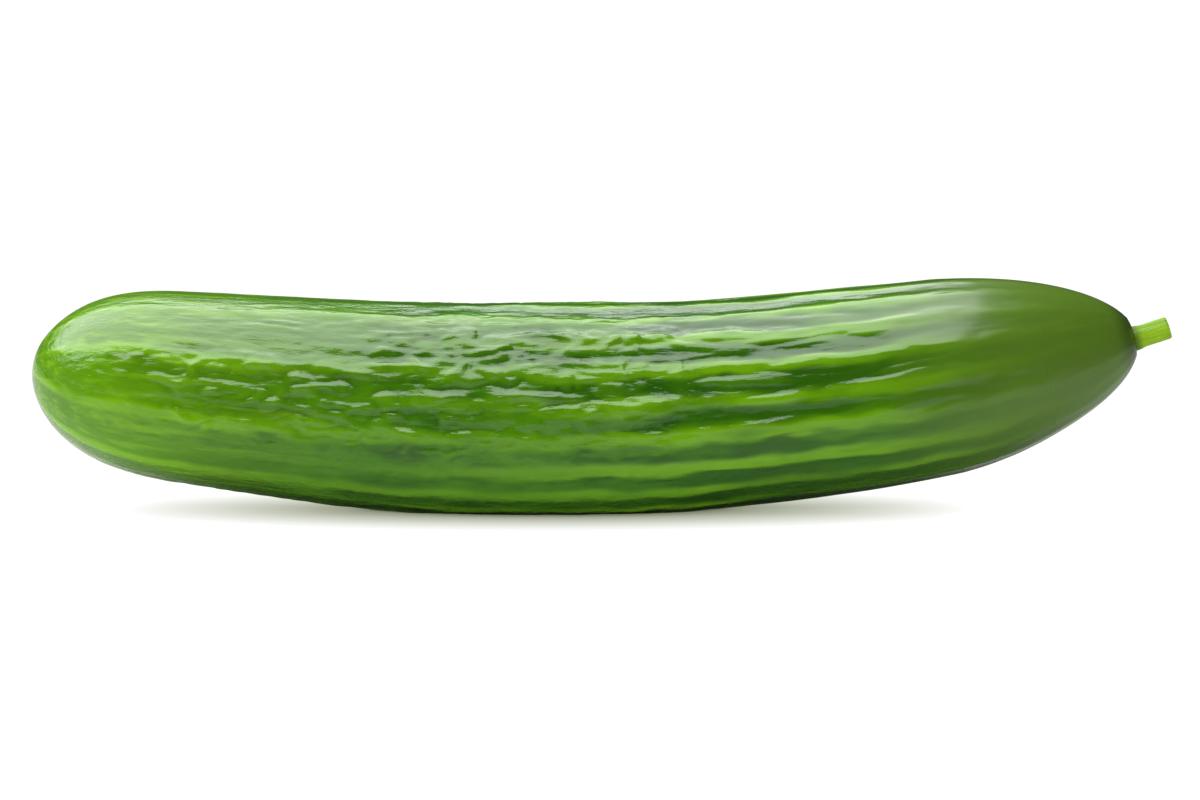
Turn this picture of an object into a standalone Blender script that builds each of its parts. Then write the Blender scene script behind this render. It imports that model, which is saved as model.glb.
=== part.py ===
"""A whole slicing cucumber with its cut stem stub, lying on its belly. Metres, +Z up, +X towards the stem.

The origin is on the ground under the middle of the cucumber's overall length.
"""

import bmesh
import bpy
from math import atan, atan2, cos, pi, radians, sin, sqrt

# The whole thing, from the blossom end's tip to the far side of the stem's cut face.
OVERALL_LENGTH = 0.2590

# The fruit: a long trunk, thickest near its middle, closed by a blunt cap at the blossom end
# and by a longer tapering one at the stem end.
FRUIT_LENGTH = 0.2516
GREATEST_RADIUS = 0.0239
THICKEST_AT = 0.130
TRUNK_TAPER = 0.154
TAPER_REACH = 0.125
BLOSSOM_CAP = 0.0378
BLOSSOM_BLUNTNESS = 2.45
STEM_CAP = 0.0435
STEM_BLUNTNESS = 1.7

# The spine's heights above the ground at even steps along the fruit: its middle sags and its ends rise.
SPINE_HEIGHTS = (0.0336, 0.0191, 0.0176, 0.0423)

# Inside a cucumber are three seed chambers, and the skin swells a little over each.
LOBES = 3
LOBE_SWELL = 0.012
LOBE_TURN = radians(25)

# The stem stub leans up from the fruit's end. Its foot sits on a small flat that the fruit ends in.
STEM_LEAN = radians(18.5)
STEM_RADIUS = 0.0026
STEM_TIP_RADIUS = 0.0024
STEM_LENGTH = 0.0080
STEM_RIM = 0.0007
STEM_FOOT = (0.2504, 0.0393)
STEM_GAP = 0.0003

RINGS = 46
SEGMENTS = 40
CUTTER_SIZE = 0.4
STEM_CUTTER_SIZE = 0.02


def new_collection(name):
    collection = bpy.data.collections.new(name)
    bpy.context.scene.collection.children.link(collection)
    return collection


def principled(name, colour, roughness):
    material = bpy.data.materials.new(name)
    material.use_nodes = True
    shader = material.node_tree.nodes["Principled BSDF"]
    shader.inputs["Base Color"].default_value = (*colour, 1)
    shader.inputs["Roughness"].default_value = roughness
    shader.inputs["Metallic"].default_value = 0
    return material


def add_object(name, mesh, collection, material=None):
    thing = bpy.data.objects.new(name, mesh)
    if material:
        mesh.materials.append(material)
    collection.objects.link(thing)
    return thing


def spine_at(x):
    """The spine's height and slope at a distance x from the blossom tip, on one cubic."""
    a, b, c, d = SPINE_HEIGHTS
    t = x / OVERALL_LENGTH
    height = a * (1 - t) ** 3 + 3 * b * t * (1 - t) ** 2 + 3 * c * t**2 * (1 - t) + d * t**3
    slope = 3 * ((b - a) * (1 - t) ** 2 + 2 * (c - b) * t * (1 - t) + (d - c) * t**2) / OVERALL_LENGTH
    return height, slope


def cap_share(distance, cap, bluntness):
    """How far a cap has opened at a distance from its tip: 0 at the tip, 1 past the cap. Bluntness 2 is an ellipse."""
    t = min(max(distance / cap, 0), 1)
    return sqrt(1 - (1 - t) ** bluntness)


def radius_at(x):
    """The fruit's mean radius at a distance x from the blossom tip."""
    trunk = GREATEST_RADIUS * (1 - TRUNK_TAPER * ((x - THICKEST_AT) / TAPER_REACH) ** 2)
    opening = cap_share(x, BLOSSOM_CAP, BLOSSOM_BLUNTNESS)
    return trunk * opening * cap_share(FRUIT_LENGTH - x, STEM_CAP, STEM_BLUNTNESS)


def fruit_mesh():
    """A sphere drawn out along the spine: its poles become the two ends, and its rings the cross-sections."""
    shape = bmesh.new()
    bmesh.ops.create_uvsphere(shape, u_segments=SEGMENTS, v_segments=RINGS, radius=1)
    for vertex in shape.verts:
        x = FRUIT_LENGTH * (1 + vertex.co.z) / 2
        turn = atan2(vertex.co.y, vertex.co.x)
        height, slope = spine_at(x)
        radius = radius_at(x) * (1 + LOBE_SWELL * cos(LOBES * (turn - LOBE_TURN)))
        lean = atan(slope)
        vertex.co.x = x - radius * cos(turn) * sin(lean)
        vertex.co.y = radius * sin(turn)
        vertex.co.z = height + radius * cos(turn) * cos(lean)
    bmesh.ops.recalc_face_normals(shape, faces=shape.faces)
    mesh = bpy.data.meshes.new("fruit")
    shape.to_mesh(mesh)
    shape.free()
    return mesh


def cube_mesh(name, size):
    shape = bmesh.new()
    bmesh.ops.create_cube(shape, size=size)
    mesh = bpy.data.meshes.new(name)
    shape.to_mesh(mesh)
    shape.free()
    return mesh


def cut_away(thing, cutter):
    cutter.hide_render = True
    cutter.display_type = "WIRE"
    cut = thing.modifiers.new(f"cut by {cutter.name}", "BOOLEAN")
    cut.operation = "DIFFERENCE"
    cut.solver = "EXACT"
    cut.object = cutter


def stem_place(distance):
    """A point on the stem's own axis, at a distance from the fruit's end flat."""
    foot_x, foot_z = STEM_FOOT
    x = foot_x - OVERALL_LENGTH / 2 + distance * cos(STEM_LEAN)
    return x, 0, foot_z + distance * sin(STEM_LEAN)


def stem_profile():
    """Half the stub's outline from its tip down to its foot, with the cut edge rounded by an arc."""
    mesh = bpy.data.meshes.new("stem")
    arc_steps = 4
    points = [(0, STEM_LENGTH)]
    for step in range(arc_steps + 1):
        turn = pi / 2 * (1 - step / arc_steps)
        across = STEM_TIP_RADIUS - STEM_RIM + STEM_RIM * cos(turn)
        points.append((across, STEM_LENGTH - STEM_RIM + STEM_RIM * sin(turn)))
    points += [(STEM_RADIUS, STEM_LENGTH / 3), (STEM_RADIUS, 0), (0, 0)]
    edges = [(i, i + 1) for i in range(len(points) - 1)]
    mesh.from_pydata([(across, 0, along) for across, along in points], edges, [])
    return mesh


for leftover in list(bpy.data.objects):
    bpy.data.objects.remove(leftover)

parts = new_collection("cucumber")
cutters = new_collection("cutters")

# Fruit.
fruit = add_object("fruit", fruit_mesh(), parts, principled("cucumber skin", (0.055, 0.16, 0.012), 0.3))
fruit.location.x = -OVERALL_LENGTH / 2

# The ground takes a thin slice off the belly, so that the fruit rests on a flat and doesn't roll.
ground = add_object("ground_cutter", cube_mesh("ground_cutter", CUTTER_SIZE), cutters)
ground.location.z = -CUTTER_SIZE / 2
cut_away(fruit, ground)

# The stem's foot needs a flat square to its lean.
stem_seat = add_object("stem_seat_cutter", cube_mesh("stem_seat_cutter", STEM_CUTTER_SIZE), cutters)
stem_seat.location = stem_place(STEM_CUTTER_SIZE / 2)
stem_seat.rotation_euler.y = pi / 2 - STEM_LEAN
cut_away(fruit, stem_seat)

# Stem.
stem = add_object("stem", stem_profile(), parts, principled("cucumber stem", (0.33, 0.53, 0.01), 0.45))
stem.location = stem_place(STEM_GAP)
stem.rotation_euler.y = pi / 2 - STEM_LEAN
turned = stem.modifiers.new("turned", "SCREW")
turned.axis = "Z"
turned.steps = 28
turned.render_steps = 28
turned.use_merge_vertices = True
turned.merge_threshold = 0.00001
turned.use_smooth_shade = True

fruit.data.shade_smooth()
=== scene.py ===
import bpy
import math
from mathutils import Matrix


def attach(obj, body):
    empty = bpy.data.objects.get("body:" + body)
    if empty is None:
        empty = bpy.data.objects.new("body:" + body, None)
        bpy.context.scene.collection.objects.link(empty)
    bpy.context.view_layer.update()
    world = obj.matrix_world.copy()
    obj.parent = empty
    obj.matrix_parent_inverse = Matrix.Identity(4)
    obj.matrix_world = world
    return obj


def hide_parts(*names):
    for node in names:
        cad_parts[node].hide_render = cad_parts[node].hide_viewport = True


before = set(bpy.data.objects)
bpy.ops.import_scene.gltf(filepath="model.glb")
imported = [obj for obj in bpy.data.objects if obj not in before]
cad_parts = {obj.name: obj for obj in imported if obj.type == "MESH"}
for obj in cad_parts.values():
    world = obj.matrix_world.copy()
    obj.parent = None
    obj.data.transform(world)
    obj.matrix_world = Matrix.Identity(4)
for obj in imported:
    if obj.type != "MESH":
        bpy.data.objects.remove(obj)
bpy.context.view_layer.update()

# ---------------------------------------------------------------------------------------------------
# Fruit
# The fruit grows as one long body round a spine that sags in the middle. Ten strong ribs and ten weaker
# ones run its length under a thin waxy skin, which is crumpled from the blossom end to past the middle
# and draws smooth and dark towards the stem.
# ---------------------------------------------------------------------------------------------------

# The body. A station is a distance along the fruit, counted from where the spine starts.
FRUIT_LENGTH = 0.2509
GREATEST_RADIUS = 0.0239
THICKEST_AT = 0.130
TRUNK_TAPER = 0.154
TAPER_REACH = 0.125
BLOSSOM_TIP = 0.00125
BLOSSOM_CAP = 0.03655
BLOSSOM_BLUNTNESS = 2.7
STEM_CAP = 0.0435
STEM_BLUNTNESS = 1.7
SPINE_REACH = 0.2590
SPINE_HEIGHTS = (0.0336, 0.0191, 0.0176, 0.0423)
SEAT_AT = 0.2497

# The ribs, in pairs of a strong one and a weaker one. They stray from straight lines by WANDER and WAVER,
# in radians of the pair's own turn.
RIB_PAIRS = 10
RIB_TURN = math.radians(-61)
RIB_SHARPNESS = 6
RIB_HEIGHT = 0.00048
LEAST_RIB = 0.15
WANDER_GRAIN = (0.022, 0.020)
WANDER = 0.8
WANDER_WHERE_CRUMPLED = 2.8
WAVER_GRAIN = (0.011, 0.006)
WAVER = 1.3

# The rest of the relief. A grain is the length along the fruit and the width round it of one bump.
SWELL_GRAIN = (0.045, 0.030)
SWELL_HEIGHT = 0.0018
FOLD_GRAIN = (0.034, 0.0054)
FOLD_HEIGHT = 0.0040
CRUMPLE_GRAIN = (0.0080, 0.0042)
CRUMPLE_HEIGHT = 0.0034
RELIEF_SINK = 0.0003
CALM_TIP_RADIUS = 0.012

# The stations between which each kind of relief sets in or dies out: first where there is none, then all.
RIBS_SET_IN = (-0.03, 0.09)
RIBS_DIE_OUT = (0.25, 0.18)
WEAK_RIBS_SET_IN = (0.05, 0.12)
FOLDS_SET_IN = (0.01, 0.06)
FOLDS_DIE_OUT = (0.235, 0.16)
CRUMPLES_SET_IN = (0.0, 0.04)
CRUMPLES_DIE_OUT = (0.175, 0.12)
STRETCHED_TIP = (0.10, 0.06)

# Which way the skin faces, between none and all of a zone: 1 is straight up, 0 sideways, -1 down.
OFF_TOP = (0.96, 0.78)
OFF_BELLY = (-0.65, -0.15)
UPPER_SIDE = (0.40, 0.62)

# How much of the folds and crumples is left where they are weakest.
LEAST_ON_TOP = 0.25
LEAST_ON_BELLY = 0.25
LEAST_WHERE_STRETCHED = 0.20
LEAST_FOLD = 0.12


def feed(tree, socket, value):
    """Links a socket to an input, or sets the input to a plain value."""
    if isinstance(value, bpy.types.NodeSocket):
        tree.links.new(value, socket)
    else:
        socket.default_value = value


def calc(tree, operation, *values, clamp=False):
    node = tree.nodes.new("ShaderNodeMath")
    node.operation = operation
    node.use_clamp = clamp
    for socket, value in zip(node.inputs, values):
        feed(tree, socket, value)
    return node.outputs[0]


def calc_vector(tree, operation, *values, output="Vector"):
    node = tree.nodes.new("ShaderNodeVectorMath")
    node.operation = operation
    for socket, value in zip(node.inputs, values):
        feed(tree, socket, value)
    return node.outputs[output]


def total(tree, *values):
    result = values[0]
    for value in values[1:]:
        result = calc(tree, "ADD", result, value)
    return result


def product(tree, *values):
    result = values[0]
    for value in values[1:]:
        result = calc(tree, "MULTIPLY", result, value)
    return result


def blend(tree, share, start, end):
    """A number that goes from start to end while the share goes from 0 to 1."""
    return calc(tree, "MULTIPLY_ADD", share, end - start, start)


def share_done(tree, value, start, end):
    """How much of the way from start to end a value has come, from 0 to 1."""
    return calc(tree, "DIVIDE", calc(tree, "SUBTRACT", value, start), end - start, clamp=True)


def fade(tree, value, start, end):
    """A smooth step from 0 at start to 1 at end; start may lie past end."""
    node = tree.nodes.new("ShaderNodeMapRange")
    node.interpolation_type = "SMOOTHSTEP"
    feed(tree, node.inputs["Value"], value)
    node.inputs["From Min"].default_value = min(start, end)
    node.inputs["From Max"].default_value = max(start, end)
    node.inputs["To Min"].default_value = 0 if start < end else 1
    node.inputs["To Max"].default_value = 1 if start < end else 0
    return node.outputs["Result"]


def axes_of(tree, vector):
    node = tree.nodes.new("ShaderNodeSeparateXYZ")
    tree.links.new(vector, node.inputs[0])
    return node.outputs


def vector_of(tree, x, y, z):
    node = tree.nodes.new("ShaderNodeCombineXYZ")
    for socket, value in zip(node.inputs, (x, y, z)):
        feed(tree, socket, value)
    return node.outputs[0]


def round_axis(tree, along, radius, turn):
    """A point beside the X axis: `turn` is 0 above the axis and grows towards +Y."""
    across = product(tree, radius, calc(tree, "SINE", turn))
    upward = product(tree, radius, calc(tree, "COSINE", turn))
    return vector_of(tree, along, across, upward)


def grainy(tree, place, grain, detail=2, roughness=0.5, distortion=0, shift=0):
    """Noise centred on 0. Its grains are as long along X and as wide across it as `grain` says, in metres."""
    along, around = grain
    scale = (1 / along, 1 / around, 1 / around)
    scaled = calc_vector(tree, "MULTIPLY_ADD", place, scale, (shift, shift, shift))
    node = tree.nodes.new("ShaderNodeTexNoise")
    tree.links.new(scaled, node.inputs["Vector"])
    node.inputs["Scale"].default_value = 1
    node.inputs["Detail"].default_value = detail
    node.inputs["Roughness"].default_value = roughness
    node.inputs["Distortion"].default_value = distortion
    return calc(tree, "SUBTRACT", node.outputs[0], 0.5)


def store(tree, geometry, name, kind, value, domain="POINT"):
    node = tree.nodes.new("GeometryNodeStoreNamedAttribute")
    node.data_type = kind
    node.domain = domain
    node.inputs["Name"].default_value = name
    tree.links.new(geometry, node.inputs["Geometry"])
    feed(tree, [socket for socket in node.inputs if socket.name == "Value" and socket.enabled][0], value)
    return node.outputs["Geometry"]


def new_growth(name, inputs):
    """A Geometry Nodes tree with these inputs, and its own input and output sockets."""
    tree = bpy.data.node_groups.new(name, "GeometryNodeTree")
    tree.is_modifier = True
    for socket_name, kind in inputs:
        tree.interface.new_socket(socket_name, in_out="INPUT", socket_type=f"NodeSocket{kind}")
    tree.interface.new_socket("Grown", in_out="OUTPUT", socket_type="NodeSocketGeometry")
    given = tree.nodes.new("NodeGroupInput").outputs
    made = tree.nodes.new("NodeGroupOutput").inputs
    return tree, given, made


def flat_sheet(tree, given):
    """A unit sheet to be rolled up, its share of the way along from 0 to 1, and its turn round the axis."""
    grid = tree.nodes.new("GeometryNodeMeshGrid")
    grid.inputs["Size X"].default_value = 1
    grid.inputs["Size Y"].default_value = 1
    tree.links.new(given["Rings"], grid.inputs["Vertices X"])
    tree.links.new(given["Girth steps"], grid.inputs["Vertices Y"])
    sheet = store(tree, grid.outputs["Mesh"], "OFBake", "FLOAT2", grid.outputs["UV Map"], domain="CORNER")
    corner = axes_of(tree, tree.nodes.new("GeometryNodeInputPosition").outputs[0])
    share = calc(tree, "ADD", corner["X"], 0.5)
    turn = product(tree, corner["Y"], 2 * math.pi)
    return sheet, share, turn


def roll_up(tree, sheet, place, material, made):
    """Moves the sheet's points into place, closes its seam and both its ends, and gives it its material."""
    seam_gap = 0.000002
    rolled = tree.nodes.new("GeometryNodeSetPosition")
    tree.links.new(sheet, rolled.inputs["Geometry"])
    tree.links.new(place, rolled.inputs["Position"])
    closed = tree.nodes.new("GeometryNodeMergeByDistance")
    closed.inputs["Distance"].default_value = seam_gap
    tree.links.new(rolled.outputs[0], closed.inputs["Geometry"])
    smooth = tree.nodes.new("GeometryNodeSetShadeSmooth")
    tree.links.new(closed.outputs[0], smooth.inputs["Geometry"])
    real = tree.nodes.new("GeometryNodeRealizeInstances")
    tree.links.new(smooth.outputs[0], real.inputs[0])
    coated = tree.nodes.new("GeometryNodeSetMaterial")
    tree.links.new(real.outputs[0], coated.inputs["Geometry"])
    tree.links.new(material, coated.inputs["Material"])
    tree.links.new(coated.outputs[0], made["Grown"])


def cap_opening(tree, distance, cap, bluntness):
    """The share of its full radius that the fruit has at a distance from one of its tips."""
    left = calc(tree, "SUBTRACT", 1, calc(tree, "DIVIDE", distance, cap, clamp=True))
    return calc(tree, "SQRT", calc(tree, "SUBTRACT", 1, calc(tree, "POWER", left, bluntness), clamp=True))


def smooth_fruit_radius(tree, station, length, greatest):
    """The radius without relief: a trunk that is thickest near its middle, closed by a cap at each end."""
    reach = calc(tree, "DIVIDE", calc(tree, "SUBTRACT", station, THICKEST_AT), TAPER_REACH)
    taper = calc(tree, "SUBTRACT", 1, product(tree, reach, reach, TRUNK_TAPER))
    from_blossom = calc(tree, "SUBTRACT", station, BLOSSOM_TIP)
    to_stem = calc(tree, "SUBTRACT", length, station)
    blossom = cap_opening(tree, from_blossom, BLOSSOM_CAP, BLOSSOM_BLUNTNESS)
    stemward = cap_opening(tree, to_stem, STEM_CAP, STEM_BLUNTNESS)
    return product(tree, taper, greatest, product(tree, blossom, stemward))


def wrinkled_zones(tree, facing, station):
    """How folded and how crumpled the skin is, each from 0 to 1."""
    off_top = blend(tree, fade(tree, facing, *OFF_TOP), LEAST_ON_TOP, 1)
    off_belly = blend(tree, fade(tree, facing, *OFF_BELLY), LEAST_ON_BELLY, 1)

    folded = blend(tree, fade(tree, station, *FOLDS_DIE_OUT), LEAST_FOLD, 1)
    folded = product(tree, folded, fade(tree, station, *FOLDS_SET_IN), product(tree, off_top, off_belly))

    # Near the blossom end the upper side is stretched almost smooth.
    stretched = product(tree, fade(tree, facing, *UPPER_SIDE), fade(tree, station, *STRETCHED_TIP))
    crumpled = product(tree, fade(tree, station, *CRUMPLES_SET_IN), fade(tree, station, *CRUMPLES_DIE_OUT))
    crumpled = product(tree, crumpled, blend(tree, stretched, 1, LEAST_WHERE_STRETCHED), off_belly, off_top)
    return folded, crumpled


def rib_stripes(tree, place, turn, station, crumpled):
    """1 along the middle of each rib, falling to 0 in the valleys. The weaker ribs start past the tip."""
    wander = grainy(tree, place, WANDER_GRAIN, shift=7.2)
    wander = product(tree, wander, blend(tree, crumpled, WANDER, WANDER_WHERE_CRUMPLED))
    waver = product(tree, grainy(tree, place, WAVER_GRAIN, detail=1, shift=5.9), WAVER)
    straight_turn = product(tree, calc(tree, "SUBTRACT", turn, RIB_TURN), RIB_PAIRS)
    swing = product(tree, calc(tree, "COSINE", total(tree, straight_turn, wander, waver)), 0.5)
    strong = calc(tree, "POWER", calc(tree, "ADD", 0.5, swing), RIB_SHARPNESS)
    weak = calc(tree, "POWER", calc(tree, "SUBTRACT", 0.5, swing), RIB_SHARPNESS)
    return total(tree, strong, product(tree, weak, fade(tree, station, *WEAK_RIBS_SET_IN)))


def skin_relief(tree, place, turn, station):
    """How far the skin stands out of the smooth body, in metres, and the rib stripes on it."""
    folded, crumpled = wrinkled_zones(tree, calc(tree, "COSINE", turn), station)
    swell = product(tree, grainy(tree, place, SWELL_GRAIN, detail=0, shift=3.1), SWELL_HEIGHT)

    stripe = rib_stripes(tree, place, turn, station, crumpled)
    rib_rise = product(tree, fade(tree, station, *RIBS_DIE_OUT), fade(tree, station, *RIBS_SET_IN))
    ribs = product(tree, stripe, blend(tree, rib_rise, RIB_HEIGHT * LEAST_RIB, RIB_HEIGHT))

    # The bare value of a noise makes soft pillows with a sharp valley between them, as wrinkled skin has.
    folds = calc(tree, "ABSOLUTE", grainy(tree, place, FOLD_GRAIN, distortion=0.3, shift=1.9))
    folds = product(tree, folds, product(tree, folded, FOLD_HEIGHT))
    crumples = calc(tree, "ABSOLUTE", grainy(tree, place, CRUMPLE_GRAIN, detail=1, distortion=0.9))
    crumples = product(tree, crumples, product(tree, crumpled, CRUMPLE_HEIGHT))
    return total(tree, swell, ribs, folds, crumples, -RELIEF_SINK), stripe


def station_spread(tree, share):
    """Where each ring stands along the spine, from 0 to 1, and how far open it is, from 1 to 0.

    Rings crowd together at the blossom tip, and the last few close the flat under the stem.
    """
    seat_share = 0.988
    crowd = 0.08
    body_share = calc(tree, "DIVIDE", share, seat_share, clamp=True)
    near = calc(tree, "MINIMUM", body_share, crowd)
    crowded = calc(tree, "DIVIDE", product(tree, near, near), 2 * crowd)
    even = calc(tree, "MAXIMUM", calc(tree, "SUBTRACT", body_share, crowd), 0)
    station_share = calc(tree, "DIVIDE", total(tree, crowded, even), 1 - crowd / 2)
    opening = calc(tree, "SUBTRACT", 1, share_done(tree, share, seat_share, 1))
    return station_share, opening


def grow_fruit_tree():
    inputs = (
        ("Spine", "Geometry"),
        ("Length", "Float"),
        ("Radius", "Float"),
        ("Rings", "Int"),
        ("Girth steps", "Int"),
        ("Skin", "Material"),
    )
    tree, given, made = new_growth("grow fruit", inputs)
    sheet, share, turn = flat_sheet(tree, given)
    station_share, opening = station_spread(tree, share)

    spine = tree.nodes.new("GeometryNodeSampleCurve")
    spine.mode = "FACTOR"
    spine.use_all_curves = True
    tree.links.new(given["Spine"], spine.inputs["Curves"])
    reached = blend(tree, station_share, BLOSSOM_TIP / SPINE_REACH, SEAT_AT / SPINE_REACH)
    tree.links.new(reached, spine.inputs["Factor"])
    spine_place = axes_of(tree, spine.outputs["Position"])
    spine_lean = axes_of(tree, spine.outputs["Tangent"])
    station = calc(tree, "ADD", spine_place["X"], SPINE_REACH / 2)

    smooth_radius = smooth_fruit_radius(tree, station, given["Length"], given["Radius"])
    straight = round_axis(tree, station, smooth_radius, turn)
    relief, stripe = skin_relief(tree, straight, turn, station)
    settled = product(tree, relief, fade(tree, smooth_radius, 0.0, CALM_TIP_RADIUS))
    radius = product(tree, total(tree, smooth_radius, settled), opening)

    # The cross-section stands square to the spine: out of it sideways, and along its upward normal.
    upward = product(tree, radius, calc(tree, "COSINE", turn))
    across = product(tree, radius, calc(tree, "SINE", turn))
    along = calc(tree, "SUBTRACT", spine_place["X"], product(tree, upward, spine_lean["Z"]))
    height = total(tree, spine_place["Z"], product(tree, upward, spine_lean["X"]))
    place = vector_of(tree, along, across, calc(tree, "MAXIMUM", height, 0))

    # The skin's pattern follows the fruit as it would be with a straight spine. Relief is kept in mm.
    sheet = store(tree, sheet, "straight", "FLOAT_VECTOR", straight)
    sheet = store(tree, sheet, "relief", "FLOAT", product(tree, relief, 1000))
    sheet = store(tree, sheet, "stripe", "FLOAT", stripe)
    roll_up(tree, sheet, place, given["Skin"], made)
    return tree


# The skin's colours, from the furrows, where painted shade deepens the green, up to the ribs, then its two
# ends, the scar and the painted shade round the stem.
FURROW_SHADE_GREEN = (0.006, 0.042, 0.0002)
DEEP_GREEN = (0.005, 0.040, 0.0002)
MID_GREEN = (0.018, 0.078, 0.0003)
STEM_HALF_GREEN = (0.048, 0.130, 0.0008)
RAISED_GREEN = (0.050, 0.140, 0.0006)
RIB_LIME = (0.080, 0.195, 0.0006)
STREAK_LIME = (0.095, 0.200, 0.0030)
BLOSSOM_LIME = (0.100, 0.230, 0.0015)
STEMWARD_GREEN = (0.050, 0.096, 0.0050)
SCAR_TAN = (0.20, 0.16, 0.050)
NECK_PAINTED_SHADE = (0.014, 0.030, 0.0010)

# The stations between which each colour sets in: first where there is none, then where it is strongest.
STEM_HALF = (0.12, 0.18)
STEMWARD = (0.18, 0.24)
NECK = (0.2448, 0.2494)
BLOSSOM_END = (0.12, 0.0)
STREAKED_END = (0.09, 0.02)
LIME_END = (0.252, 0.17)
FAINT_FROM = (0.02, 0.06)
FAINT_TO = (0.15, 0.11)
NEAR_SCAR = (0.1, 0.05)

# How much of each colour there is where it is strongest.
STEM_HALF_SHARE = 0.4
RAISED_SHARE = 0.42
PATCHY_LIME = (0.35, 0.90)
FAINT_LIME = 0.45
FURROW_SHADE_SHARE = 0.6
STREAK_SHARE = 0.5
BLOSSOM_SHARE = 0.42
STEMWARD_SHARE = 0.8
SCAR_SHARE = 0.85
NECK_SHADE_SHARE = 0.75

# The marks in the skin: their grains, and the scar's ragged edge.
BLOTCH_GRAIN = (0.020, 0.007)
PATCH_GRAIN = (0.018, 0.005)
STREAK_GRAIN = (0.050, 0.0022)
SCAR_GRAIN = (0.002, 0.0012)
SCAR_EDGE = (0.0026, 0.0017)
SCAR_RAGGEDNESS = 0.0012

# The wax, and the wrinkles and pores too small to be made in the mesh.
WAX_IOR = 1.45
GLOSSY_ROUGHNESS = 0.12
STEMWARD_ROUGHNESS = 0.28
DULLER_TOWARDS_STEM = (0.18, 0.235)
WRINKLE_GRAIN = (0.006, 0.0016)
WRINKLES_DIE_OUT = (0.226, 0.13)
PORE_GRAIN = (0.0012, 0.0008)
PORE_SHARE = 0.12
SKIN_BUMP = 0.00025


def tint(tree, share, start, end):
    """A colour between start and end."""
    node = tree.nodes.new("ShaderNodeMix")
    node.data_type = "RGBA"
    feed(tree, node.inputs[0], share)
    for socket, value in ((node.inputs[6], start), (node.inputs[7], end)):
        feed(tree, socket, (*value, 1) if isinstance(value, tuple) else value)
    return node.outputs[2]


def attribute(tree, name, output):
    node = tree.nodes.new("ShaderNodeAttribute")
    node.attribute_name = name
    return node.outputs[output]


def add_bump(tree, shader, height, distance):
    bump = tree.nodes.new("ShaderNodeBump")
    bump.inputs["Strength"].default_value = 1
    bump.inputs["Distance"].default_value = distance
    tree.links.new(height, bump.inputs["Height"])
    tree.links.new(bump.outputs[0], shader.inputs["Normal"])


def skin_colour(tree, place, station):
    relief = attribute(tree, "relief", "Fac")
    stripe = attribute(tree, "stripe", "Fac")

    # Mottled green, lighter in the stem half and on what stands out.
    blotch = fade(tree, grainy(tree, place, BLOTCH_GRAIN, detail=4), -0.12, 0.12)
    colour = tint(tree, blotch, DEEP_GREEN, MID_GREEN)
    stem_half = product(tree, fade(tree, station, *STEM_HALF), STEM_HALF_SHARE)
    colour = tint(tree, stem_half, colour, STEM_HALF_GREEN)
    raised = product(tree, fade(tree, relief, 0.1, 0.9), RAISED_SHARE)
    colour = tint(tree, raised, colour, RAISED_GREEN)

    # Lime stripes on the ribs, uneven, and faint on the crumpled part.
    patchy = fade(tree, grainy(tree, place, PATCH_GRAIN, detail=3, shift=8.8), -0.22, 0.10)
    faint = product(tree, fade(tree, station, *FAINT_FROM), fade(tree, station, *FAINT_TO))
    lime = product(tree, fade(tree, stripe, 0.12, 0.8), fade(tree, station, *LIME_END))
    lime = product(tree, lime, blend(tree, patchy, *PATCHY_LIME), blend(tree, faint, 1, FAINT_LIME))
    colour = tint(tree, lime, colour, RIB_LIME)
    # Darker in the furrows and creases: partly the skin's own deeper green, partly painted shade where the
    # relief sinks.
    furrow_shade = product(tree, fade(tree, relief, 0.05, -0.35), FURROW_SHADE_SHARE)
    colour = tint(tree, furrow_shade, colour, FURROW_SHADE_GREEN)

    # Thin pale streaks and a paler ground at the blossom end, and a duller green towards the stem.
    streak = fade(tree, grainy(tree, place, STREAK_GRAIN, detail=3, shift=4.4), -0.02, 0.16)
    streak = product(tree, streak, fade(tree, station, *STREAKED_END), STREAK_SHARE)
    colour = tint(tree, streak, colour, STREAK_LIME)
    blossom = product(tree, fade(tree, station, *BLOSSOM_END), BLOSSOM_SHARE)
    colour = tint(tree, blossom, colour, BLOSSOM_LIME)
    stemward = product(tree, fade(tree, station, *STEMWARD), STEMWARD_SHARE)
    colour = tint(tree, stemward, colour, STEMWARD_GREEN)

    # The dry scar that the flower left on the tip, and painted shade, a darker green in the hollow round the
    # stem.
    off_axis = calc_vector(tree, "LENGTH", calc_vector(tree, "MULTIPLY", place, (0, 1, 1)), output="Value")
    ragged = calc(tree, "MULTIPLY_ADD", grainy(tree, place, SCAR_GRAIN), SCAR_RAGGEDNESS, off_axis)
    scar = product(tree, fade(tree, ragged, *SCAR_EDGE), fade(tree, station, *NEAR_SCAR), SCAR_SHARE)
    colour = tint(tree, scar, colour, SCAR_TAN)
    stem_hollow_shade = product(tree, fade(tree, station, *NECK), NECK_SHADE_SHARE)
    return tint(tree, stem_hollow_shade, colour, NECK_PAINTED_SHADE)


def skin_material():
    material = bpy.data.materials.new("cucumber_skin")
    material.use_nodes = True
    tree = material.node_tree
    shader = tree.nodes["Principled BSDF"]
    place = attribute(tree, "straight", "Vector")
    station = axes_of(tree, place)["X"]
    tree.links.new(skin_colour(tree, place, station), shader.inputs["Base Color"])

    shader.inputs["IOR"].default_value = WAX_IOR
    duller = fade(tree, station, *DULLER_TOWARDS_STEM)
    rough = blend(tree, duller, GLOSSY_ROUGHNESS, STEMWARD_ROUGHNESS)
    tree.links.new(rough, shader.inputs["Roughness"])

    wrinkles = grainy(tree, place, WRINKLE_GRAIN, detail=4, roughness=0.6, shift=2.2)
    pores = grainy(tree, place, PORE_GRAIN, shift=5.5)
    surface = total(tree, wrinkles, product(tree, pores, PORE_SHARE))
    add_bump(tree, shader, product(tree, surface, fade(tree, station, *WRINKLES_DIE_OUT)), SKIN_BUMP)
    return material


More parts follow.
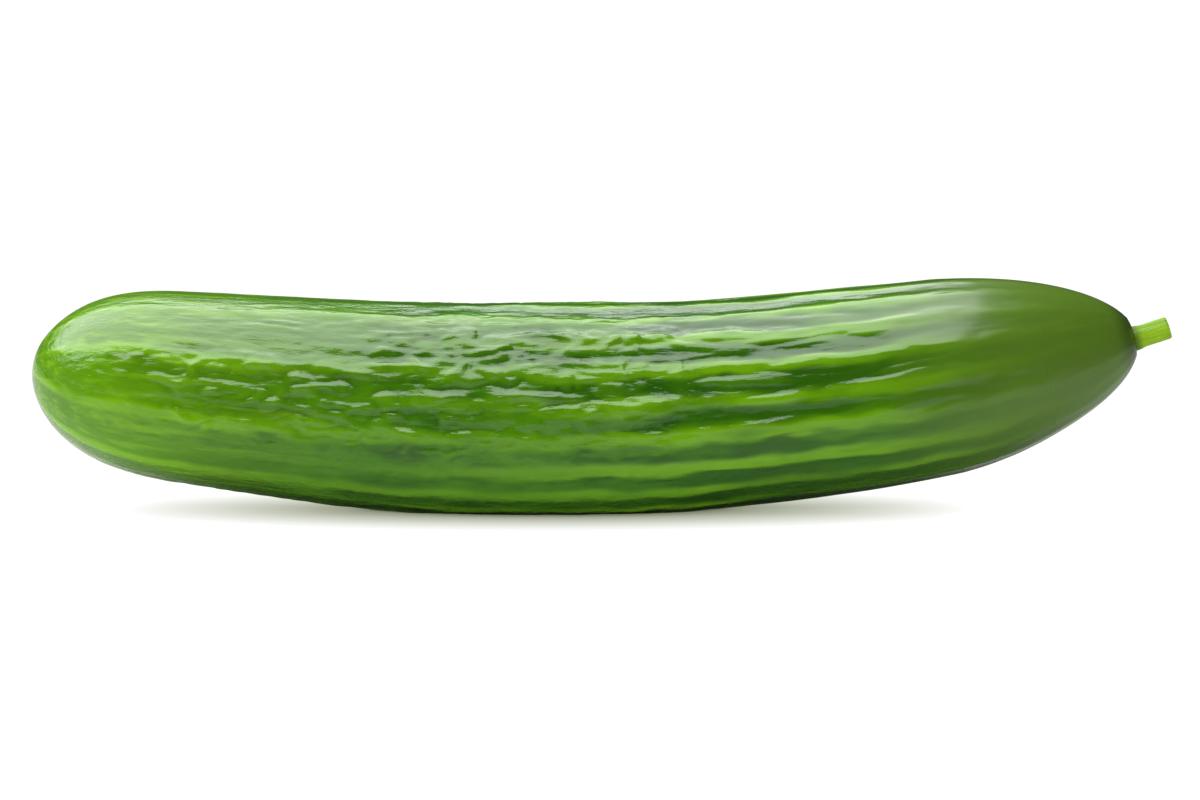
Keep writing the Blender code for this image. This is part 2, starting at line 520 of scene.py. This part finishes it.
def spine_curve():
    """The fruit's spine: one cubic span whose control points stand at even steps along its length."""
    curve = bpy.data.curves.new("spine", "CURVE")
    curve.dimensions = "3D"
    curve.resolution_u = 600
    span = curve.splines.new("BEZIER")
    span.bezier_points.add(1)
    places = [(SPINE_REACH * (step / 3 - 0.5), 0, height) for step, height in enumerate(SPINE_HEIGHTS)]
    start, end = span.bezier_points
    for point in (start, end):
        point.handle_left_type = "FREE"
        point.handle_right_type = "FREE"
    start.co, start.handle_right, end.handle_left, end.co = places
    start.handle_left = start.co
    end.handle_right = end.co
    return curve


def grown(name, seed, tree, sizes):
    """Runs a tree on a seed curve or mesh and keeps the result as a plain mesh object."""
    source = bpy.data.objects.new(seed.name, seed)
    bpy.context.scene.collection.objects.link(source)
    modifier = source.modifiers.new(name, "NODES")
    modifier.node_group = tree
    for socket in tree.interface.items_tree:
        if socket.name in sizes:
            modifier[socket.identifier] = sizes[socket.name]
    source.update_tag()
    bpy.context.view_layer.update()
    evaluated = source.evaluated_get(bpy.context.evaluated_depsgraph_get())
    mesh = bpy.data.meshes.new_from_object(evaluated)
    mesh.name = name
    source.modifiers.remove(modifier)
    bpy.data.objects.remove(source)
    thing = bpy.data.objects.new(name, mesh)
    bpy.context.scene.collection.objects.link(thing)
    return thing


fruit_sizes = {
    "Length": FRUIT_LENGTH,
    "Radius": GREATEST_RADIUS,
    "Rings": 300,
    "Girth steps": 333,
    "Skin": skin_material(),
}
fruit = grown("cucumber_fruit", spine_curve(), grow_fruit_tree(), fruit_sizes)
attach(fruit, "root")
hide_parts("fruit")

# ---------------------------------------------------------------------------------------------------
# Stem
# The stalk the fruit hung from, snipped off 8 mm out. It is a tough, juicy lime-green rod with five soft
# ridges; it flares where it grows into the fruit's end, and its cut face is slightly sunk and paler.
# ---------------------------------------------------------------------------------------------------

STEM_FOOT = (0.1209, 0, 0.0393)
STEM_LEAN = math.radians(18.5)
STEM_LENGTH = 0.0080
STEM_RADIUS = 0.00245
STEM_FLARE = 0.00030
STEM_FLARE_REACH = 0.0022
STEM_SINK = 0.0012
STEM_RIM = 0.0006
STEM_RIM_DROP = 0.7

STEM_RIDGES = 5
STEM_RIDGE_HEIGHT = 0.00013
STEM_RIDGE_TWIST = 60
FURROW_GRAIN = (0.009, 0.0011)
FURROW_DEPTH = 0.00022
PITH_GRAIN = (0.001, 0.0008)
PITH_ROUGHNESS = 0.00012
CUT_SINK = 0.00025

# The shares of the rings that close the foot and the cut face. The others run up the side.
FOOT_RINGS = 0.2
FACE_RINGS = 0.2


def stem_side_radius(tree, given, turn, along, round_place):
    """The stem's radius from its flared foot to the rounded rim of its cut, with its ridges and furrows."""
    flare = product(tree, fade(tree, along, STEM_FLARE_REACH, 0.0), STEM_FLARE)
    twist = product(tree, along, STEM_RIDGE_TWIST)
    ridges = calc(tree, "COSINE", calc(tree, "MULTIPLY_ADD", turn, STEM_RIDGES, twist))
    ridges = product(tree, ridges, STEM_RIDGE_HEIGHT)
    furrows = product(tree, grainy(tree, round_place, FURROW_GRAIN, detail=3, shift=6.3), FURROW_DEPTH)
    to_cut = calc(tree, "SUBTRACT", given["Length"], along)
    rim_gap = calc(tree, "SUBTRACT", 1, calc(tree, "DIVIDE", to_cut, STEM_RIM, clamp=True))
    rounding = calc(tree, "SQRT", calc(tree, "SUBTRACT", 1, product(tree, rim_gap, rim_gap), clamp=True))
    rounding = product(tree, calc(tree, "SUBTRACT", rounding, 1), STEM_RIM * STEM_RIM_DROP)
    return total(tree, given["Radius"], flare, ridges, furrows, rounding)


def grow_stem_tree():
    inputs = (
        ("Length", "Float"),
        ("Radius", "Float"),
        ("Rings", "Int"),
        ("Girth steps", "Int"),
        ("Skin", "Material"),
    )
    tree, given, made = new_growth("grow stem", inputs)
    sheet, share, turn = flat_sheet(tree, given)
    foot_share = share_done(tree, share, 0, FOOT_RINGS)
    side_share = share_done(tree, share, FOOT_RINGS, 1 - FACE_RINGS)
    face_share = share_done(tree, share, 1 - FACE_RINGS, 1)
    face_left = calc(tree, "SUBTRACT", 1, face_share)
    buried_length = calc(tree, "ADD", given["Length"], STEM_SINK)
    along = calc(tree, "MULTIPLY_ADD", side_share, buried_length, -STEM_SINK)

    round_place = round_axis(tree, along, STEM_RADIUS, turn)
    side_radius = stem_side_radius(tree, given, turn, along, round_place)
    radius = product(tree, side_radius, product(tree, foot_share, face_left))
    sunk = product(tree, fade(tree, face_share, 0.0, 0.5), -CUT_SINK)
    pith = product(tree, grainy(tree, round_place, PITH_GRAIN), PITH_ROUGHNESS)
    pith = product(tree, pith, product(tree, face_share, face_left))

    leaned = tree.nodes.new("ShaderNodeVectorRotate")
    leaned.rotation_type = "Y_AXIS"
    leaned.inputs["Angle"].default_value = -STEM_LEAN
    upright = round_axis(tree, total(tree, along, sunk, pith), radius, turn)
    tree.links.new(upright, leaned.inputs["Vector"])
    place = calc_vector(tree, "ADD", leaned.outputs[0], STEM_FOOT)

    sheet = store(tree, sheet, "straight", "FLOAT_VECTOR", round_place)
    sheet = store(tree, sheet, "cut", "FLOAT", face_share)
    roll_up(tree, sheet, place, given["Skin"], made)
    return tree


STALK_GREEN = (0.095, 0.200, 0.0004)
STALK_LIME = (0.165, 0.290, 0.0008)
FOOT_GREEN = (0.035, 0.085, 0.0012)
CUT_EDGE_GREEN = (0.10, 0.19, 0.004)
PITH_CREAM = (0.22, 0.32, 0.05)
STREAKY_GRAIN = (0.010, 0.0009)
DARK_FOOT = (0.0018, 0.0)
DARK_FOOT_SHARE = 0.75
STALK_ROUGHNESS = (0.33, 0.45)
STALK_GRAIN = (0.003, 0.0004)
STALK_BUMP = 0.00008


def stem_material():
    material = bpy.data.materials.new("cucumber_stem")
    material.use_nodes = True
    tree = material.node_tree
    shader = tree.nodes["Principled BSDF"]
    place = attribute(tree, "straight", "Vector")
    along = axes_of(tree, place)["X"]
    cut = attribute(tree, "cut", "Fac")

    streaks = fade(tree, grainy(tree, place, STREAKY_GRAIN, detail=3, shift=6.3), -0.1, 0.12)
    colour = tint(tree, streaks, STALK_GREEN, STALK_LIME)
    foot = product(tree, fade(tree, along, *DARK_FOOT), DARK_FOOT_SHARE)
    colour = tint(tree, foot, colour, FOOT_GREEN)
    face = tint(tree, fade(tree, cut, 0.25, 0.6), CUT_EDGE_GREEN, PITH_CREAM)
    colour = tint(tree, fade(tree, cut, 0.02, 0.12), colour, face)
    tree.links.new(colour, shader.inputs["Base Color"])

    shader.inputs["IOR"].default_value = 1.4
    shader.inputs["Specular IOR Level"].default_value = 0.2
    tree.links.new(blend(tree, streaks, *STALK_ROUGHNESS), shader.inputs["Roughness"])
    grain = grainy(tree, place, STALK_GRAIN, detail=3, shift=2.9)
    add_bump(tree, shader, grain, STALK_BUMP)
    return material


stem_sizes = {
    "Length": STEM_LENGTH,
    "Radius": STEM_RADIUS,
    "Rings": 60,
    "Girth steps": 97,
    "Skin": stem_material(),
}
stem = grown("cucumber_stem", bpy.data.meshes.new("stem_seed"), grow_stem_tree(), stem_sizes)
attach(stem, "root")
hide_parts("stem")

# ---------------------------------------------------------------------------------------------------
# Studio
# A sheet of white paper under the fruit, one wide soft light overhead and to the left, and a white room.
# The paper shows the camera a clean white with a painted contact shadow close to the fruit,
# and it lights and mirrors in the skin less brightly than it looks.

OVERHEAD_SIZE = (1.55, 1.11)
OVERHEAD_PLACE = (-0.60, 0.085, 0.6)
OVERHEAD_RADIANCE = 5.4

PAPER_HALF_WIDTH = 1.6
PAPER_FRONT = -0.17
PAPER_BACK = 1.4
PAPER_WHITE = (0.80, 0.80, 0.80)
PAPER_MIRRORED = (0.30, 0.30, 0.30)
PAPER_UNDERLIGHT = 0.8
SHADOW_REACH = 0.0100
SHADOW_DEPTH = 0.42
SHADOW_WARMTH = (1.05, 0.98, 1.25)
SHOWN_WHITE = 1.08
ROOM_LIGHT = 0.7
ROOM_MIRRORED = 0.06


def paper_material():
    material = bpy.data.materials.new("paper")
    material.use_nodes = True
    tree = material.node_tree
    tree.nodes.clear()
    path = tree.nodes.new("ShaderNodeLightPath").outputs

    # What the skin sees of the paper.
    matt = tree.nodes.new("ShaderNodeBsdfDiffuse")
    tree.links.new(tint(tree, path["Is Glossy Ray"], PAPER_WHITE, PAPER_MIRRORED), matt.inputs["Color"])
    under = tree.nodes.new("ShaderNodeEmission")
    tree.links.new(product(tree, path["Is Diffuse Ray"], PAPER_UNDERLIGHT), under.inputs["Strength"])
    lit = tree.nodes.new("ShaderNodeAddShader")
    tree.links.new(matt.outputs[0], lit.inputs[0])
    tree.links.new(under.outputs[0], lit.inputs[1])

    # What the camera sees of it: an even white with a painted contact shadow, darker and a little warmer
    # where the fruit is close above.
    near = tree.nodes.new("ShaderNodeAmbientOcclusion")
    near.samples = 32
    near.inputs["Distance"].default_value = SHADOW_REACH
    openness = calc(tree, "POWER", near.outputs["AO"], SHADOW_DEPTH)
    warmth = tree.nodes.new("ShaderNodeCombineColor")
    for socket, depth in zip(warmth.inputs, SHADOW_WARMTH):
        tree.links.new(calc(tree, "POWER", openness, depth), socket)
    glow = tree.nodes.new("ShaderNodeEmission")
    tree.links.new(warmth.outputs[0], glow.inputs["Color"])
    glow.inputs["Strength"].default_value = SHOWN_WHITE

    look = tree.nodes.new("ShaderNodeMixShader")
    tree.links.new(path["Is Camera Ray"], look.inputs[0])
    tree.links.new(lit.outputs[0], look.inputs[1])
    tree.links.new(glow.outputs[0], look.inputs[2])
    out = tree.nodes.new("ShaderNodeOutputMaterial")
    tree.links.new(look.outputs[0], out.inputs["Surface"])
    return material


overhead_light = bpy.data.lights.new("overhead", "AREA")
overhead_light.shape = "RECTANGLE"
overhead_light.size, overhead_light.size_y = OVERHEAD_SIZE
overhead_light.energy = OVERHEAD_RADIANCE * math.pi * OVERHEAD_SIZE[0] * OVERHEAD_SIZE[1]
overhead = bpy.data.objects.new("overhead", overhead_light)
overhead.location = OVERHEAD_PLACE
overhead.visible_camera = False
bpy.context.scene.collection.objects.link(overhead)

paper_mesh = bpy.data.meshes.new("paper_sheet")
paper_corners = [
    (-PAPER_HALF_WIDTH, PAPER_FRONT, 0),
    (PAPER_HALF_WIDTH, PAPER_FRONT, 0),
    (PAPER_HALF_WIDTH, PAPER_BACK, 0),
    (-PAPER_HALF_WIDTH, PAPER_BACK, 0),
]
paper_mesh.from_pydata(paper_corners, [], [(0, 1, 2, 3)])
paper_mesh.materials.append(paper_material())
paper_sheet = bpy.data.objects.new("paper_sheet", paper_mesh)
bpy.context.scene.collection.objects.link(paper_sheet)

world = bpy.data.worlds.new("studio")
bpy.context.scene.world = world
world.use_nodes = True
air = world.node_tree
air.nodes.clear()
room = air.nodes.new("ShaderNodeBackground")
room.inputs["Color"].default_value = (1, 1, 1, 1)
ray = air.nodes.new("ShaderNodeLightPath").outputs
room_strength = total(
    air,
    product(air, ray["Is Camera Ray"], SHOWN_WHITE),
    product(air, ray["Is Diffuse Ray"], ROOM_LIGHT),
    product(air, ray["Is Glossy Ray"], ROOM_MIRRORED),
)
air.links.new(room_strength, room.inputs["Strength"])
room_out = air.nodes.new("ShaderNodeOutputWorld")
air.links.new(room.outputs[0], room_out.inputs[0])

CAMERA_LIFT = math.radians(10)
CAMERA_DISTANCE = 0.756
AIM_HEIGHT = 0.0252

lens = bpy.data.cameras.new("camera")
lens.lens = 100
lens.sensor_width = 36
camera = bpy.data.objects.new("camera", lens)
camera.location = (
    0,
    -CAMERA_DISTANCE * math.cos(CAMERA_LIFT),
    AIM_HEIGHT + CAMERA_DISTANCE * math.sin(CAMERA_LIFT),
)
camera.rotation_euler = (math.pi / 2 - CAMERA_LIFT, 0, 0)
bpy.context.scene.collection.objects.link(camera)
bpy.context.scene.camera = camera
bpy.context.scene.view_settings.view_transform = "Standard"
